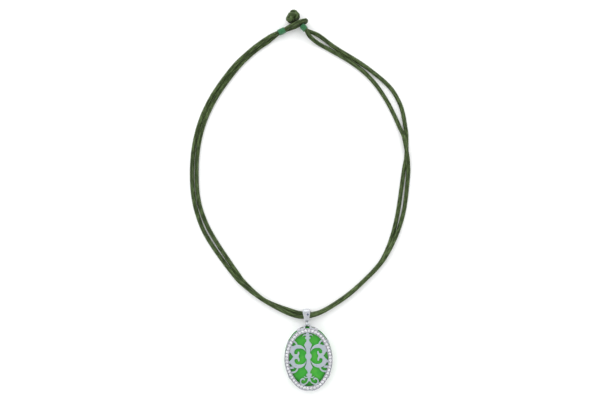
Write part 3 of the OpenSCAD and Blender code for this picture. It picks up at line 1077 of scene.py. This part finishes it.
def openwork():
    """The pierced plate with rounded edges, from the outline of the CAD's own plate. Where
    it meets the rim, it reaches into it."""
    edge, near, bite = 0.11 * MM, 0.03 * MM, 0.35 * MM
    data = bpy.data.curves.new("openwork", "CURVE")
    data.dimensions = "2D"
    data.fill_mode = "BOTH"
    data.bevel_depth = edge
    data.bevel_resolution = 3
    data.offset = -edge
    data.extrude = GRILLE_T / 2 - edge
    for loop in outlines(NODES["pendant_frame"], GRILLE_Z + GRILLE_T):
        spline = data.splines.new("POLY")
        spline.points.add(len(loop) - 1)
        spline.use_cyclic_u = True
        for point, (x, y) in zip(spline.points, loop):
            inset, out = oval_inset(x, y - PENDANT_Y)
            if inset < BAND_W + near:
                x, y = x + out.x * bite, y + out.y * bite
            point.co = (x, y, 0, 1)
    flat = bpy.data.objects.new("openwork_curve", data)
    bpy.context.scene.collection.objects.link(flat)
    mesh = evaluated(flat)
    bpy.data.objects.remove(flat)
    mesh.transform(Matrix.Translation((0, 0, GRILLE_Z + GRILLE_T / 2)))
    mesh.materials.clear()
    return dressed("openwork", mesh, [SATIN], 30)


def grip(name, start, end):
    """A stretch of the bracket that holds the slab's side, from one point of the oval to
    another, given as shares of the way round from its right side."""
    section = profile(GRIP_CORNERS, 0.1 * MM)
    total = 4 * quarter_len(0)
    steps = max(8, round((end - start) * OVAL_STEPS))
    verts = []
    for k in range(steps + 1):
        x, y, a = oval_point((start + (end - start) * k / steps) % 1 * total, 0)
        for i, z in section:
            verts.append((x - i * math.cos(a), y + PENDANT_Y - i * math.sin(a), z))
    made = piece(name, verts, tube_faces(steps + 1, len(section)), [RIM_METAL], 35)
    flip_if_inside_out(made)
    return made


def end_plate(name, start, end, facing):
    """A grip across one end of the pendant, with windows. It faces up, 1, or down, -1."""
    plate = grip(name, start, end)
    low, high = sorted(PENDANT_Y + facing * reach for reach in WINDOW_SPAN)
    windows = [
        box(((x - half) * MM, low, foot * MM), ((x + half) * MM, high, head * MM))
        for x, half, foot, head in WINDOWS
    ]
    combine(plate, piece("windows", *gathered(windows), [RIM_METAL]), "DIFFERENCE")
    finish_shading(plate, 35)
    return plate


def grips():
    """End plates, and two claws on each side."""
    start = share_at(lambda x, y: x < PLATE_HALF)
    made = [end_plate("plate", start, 0.5 - start, 1)]
    made.append(end_plate("plate", 0.5 + start, 1 - start, -1))
    low = share_at(lambda x, y: y > CLAW_Y - CLAW_W / 2)
    high = share_at(lambda x, y: y > CLAW_Y + CLAW_W / 2)
    claws = [(low, high), (0.5 - high, 0.5 - low), (0.5 + low, 0.5 + high), (1 - high, 1 - low)]
    made += [grip("claw", a, b) for a, b in claws]
    return made


def staple():
    """The soldered loop that the link ring passes through."""
    foot = STAPLE_AT.y + STAPLE_FOOT
    path = [(-STAPLE_R, foot), (-STAPLE_R, (foot + STAPLE_AT.y) / 2)]
    for k in range(STAPLE_STEPS + 1):
        a = math.pi - math.pi * k / STAPLE_STEPS
        path.append((STAPLE_R * math.cos(a), STAPLE_AT.y + STAPLE_R * math.sin(a)))
    path += [(STAPLE_R, (foot + STAPLE_AT.y) / 2), (STAPLE_R, foot)]
    line = np.array([(x, y, STAPLE_AT.z) for x, y in path])
    out = np.cross(headings(line), (0, 0, 1.0))
    w, h = STAPLE_W / 2, STAPLE_T / 2
    section = rounded([(-w, -h), (w, -h), (w, h), (-w, h)], 0.2 * MM)
    verts = [p + o * a + np.array((0, 0, b)) for p, o in zip(line, out) for a, b in section]
    made = piece("staple", verts, tube_faces(len(line), len(section)), [POLISHED], 40)
    flip_if_inside_out(made)
    return made


def pendant_metal():
    """The soldered frame of the pendant, but for its front rim."""
    band, thick = BAND_W / MM, BACK_T / MM
    corners = [(0, 0), (0, thick), (band, thick), (band, 0)]
    back = rim("back_rim", corners, 0.14 * MM, [POLISHED])
    made = joined("pendant_metal", [openwork(), back, staple(), *grips()])
    stand_in(made, "pendant_frame")


# Bail


def solid(name, verts, faces):
    """A closed body of the bail's metal with its faces turned outwards."""
    made = piece(name, verts, faces, [BAIL_METAL], 40)
    flip_if_inside_out(made)
    return made


def turned(name, corners, at, cut=0):
    """A body turned about an upright axis, with (radius, height) corners in millimetres."""
    section = profile(corners, cut) if cut else [(r * MM, z * MM) for r, z in corners]
    verts = []
    for k in range(TURNED_STEPS):
        a = 2 * math.pi * k / TURNED_STEPS
        verts += [at + Vector((r * math.cos(a), r * math.sin(a), z)) for r, z in section]
    return solid(name, verts, grid_faces(TURNED_STEPS, len(section), True))


def plug(name, r, low, high, at):
    """A cylinder that cuts a round hole, all but closed at its axis."""
    return turned(name, [(0.01, low), (r, low), (r, high), (0.01, high)], at)


def bail_side():
    """Points and outward directions round the band seen from its side: a square with
    rounded corners, in (y, z)."""
    bend, flat = 14, 6
    mid = BAIL_R - BAIL_CORNER
    for quarter in range(4):
        turn = Matrix.Rotation(quarter * math.pi / 2, 2)
        for k in range(1, flat):
            yield turn @ Vector((BAIL_R, mid * (2 * k / flat - 1))), turn @ Vector((1, 0))
        for k in range(bend + 1):
            a = k / bend * math.pi / 2
            out = Vector((math.cos(a), math.sin(a)))
            yield turn @ (Vector((mid, mid)) + out * BAIL_CORNER), turn @ out


def bail_band():
    """The band, with broad bevels at its edges, narrower at its bottom."""
    wall, bevel, dip, edge = BAIL_WALL / MM, 0.42, 0.06, 0.36
    verts, rows = [], 0
    for at, out in bail_side():
        half = float(np.interp(at.x / MM, BAND_AT, BAND_HALF))
        corners = [
            (-half, -wall), (half, -wall), (half, -edge), (half - bevel, -dip), (0, 0),
            (-half + bevel, -dip), (-half, -edge),
        ]
        for x, depth in profile(corners, 0.12 * MM):
            y, z = at + out * depth
            verts.append(BAIL_AT + Vector((x, y, z)))
        rows += 1
    return solid("bail_band", verts, grid_faces(rows, len(verts) // rows, True))


def add_eye(band):
    """Adds the flat eye below the band, on a short web."""
    eye_at = BAIL_AT + Vector((0, EYE_Y, 0))
    low = eye_at - Vector((WEB_HALF_W, 0, EYE_HALF_T))
    high = eye_at + Vector((WEB_HALF_W, WEB_LENGTH, EYE_HALF_T))
    combine(band, piece("web", *box(low, high), [BAIL_METAL]), "UNION")
    inner, outer, thick = EYE_R / MM, (EYE_R + EYE_WALL) / MM, EYE_HALF_T / MM
    reach = EYE_HOLE_HALF / MM
    combine(band, plug("hole", inner, -reach, reach, eye_at), "DIFFERENCE")
    corners = [(inner, -thick), (outer, -thick), (outer, thick), (inner, thick)]
    combine(band, turned("eye", corners, eye_at, 0.13 * MM), "UNION")


def add_collar(band, seat_at):
    """Adds the raised collar that the stone sits in."""
    r = BAIL_STONE_D / MM / 2
    corners = [(r - 0.06, -0.5), (r + 0.2, -0.5), (r + 0.17, 0.08), (r - 0.06, 0.1)]
    combine(band, turned("collar", corners, seat_at, 0.07 * MM), "UNION")
    combine(band, plug("seat", r - 0.05, -0.5, 1, seat_at), "DIFFERENCE")


def bail():
    """The band with its eye and its stone."""
    seat_at = BAIL_AT + BAIL_STONE_AT
    band = bail_band()
    add_eye(band)
    add_collar(band, seat_at)
    finish_shading(band, 35)
    stand_in(band, "bail")
    shape = brilliant(BAIL_STONE_D, BAIL_STONE_DEPTH, seat_at - BAIL_STONE_SUNK)
    gem = piece("bail_gem", *shape, [BLUE])
    finish_shading(gem, 30, facets=0)
    stand_in(gem, "bail_stone")


# Camera, light and table


def camera():
    """The photo's camera."""
    data = bpy.data.cameras.new("camera")
    data.sensor_width = SENSOR
    data.lens = SENSOR * CAMERA_AT[2] / VIEW_WIDTH
    data.clip_start = 10 * MM
    made = bpy.data.objects.new("camera", data)
    made.location = CAMERA_AT
    made.rotation_euler = (0, 0, math.radians(CAMERA_TURN))
    bpy.context.scene.collection.objects.link(made)
    bpy.context.scene.camera = made


def tent():
    """A bright tent all round, brightest in the upper left."""
    world = bpy.data.worlds.new("tent")
    bpy.context.scene.world = world
    world.use_nodes = True
    tree = world.node_tree
    split = node(tree, "SeparateXYZ")
    tree.links.new(node(tree, "TexCoord").outputs["Generated"], split.inputs["Vector"])
    sky = ramp(tree, split.outputs["Z"], SKY)
    for axis, stops in SKY_LEAN.items():
        share = mapped(tree, split.outputs[axis], {"From Min": -1})
        sky = multiplied(tree, sky, ramp(tree, share, [(at, (v, v, v)) for at, v in stops]))
    tree.links.new(sky, tree.nodes["Background"].inputs["Color"])
    tree.nodes["Background"].inputs["Strength"].default_value = 1.0


def key_light():
    """A soft light from above."""
    sun = bpy.data.lights.new("key", "SUN")
    sun.energy = KEY_ENERGY
    sun.angle = math.radians(KEY_ANGLE)
    key = bpy.data.objects.new("key", sun)
    key.rotation_euler = KEY_HEADING.to_track_quat("-Z", "Y").to_euler()
    bpy.context.scene.collection.objects.link(key)


def table():
    """A plain white table top."""
    white, _tree, base = shader("white")
    set_inputs(base, {"Base Color": (0.96, 0.96, 0.96, 1), "Roughness": 0.8})
    half = TABLE_HALF
    corners = [(-half, -half, 0), (half, -half, 0), (half, half, 0), (-half, half, 0)]
    piece("table", corners, [(0, 1, 2, 3)], [white])


# The scene

bpy.context.scene.view_settings.view_transform = "Standard"
camera()
strand("strand_upper", UPPER_ROUTE, "cord_upper")
strand("strand_lower", LOWER_ROUTE, "cord_lower")
strand("loop", LOOP_ROUTE, "cord_loop")
button_knot()
for wrap_name, wrap in WRAPS.items():
    thread_wrap(wrap_name, **wrap)
pave_rim()
pendant_metal()
for cad_name, finish in (("jade", JADE), ("link_ring", POLISHED)):
    NODES[cad_name].data.materials.clear()
    NODES[cad_name].data.materials.append(finish)
bail()
tent()
key_light()
table()
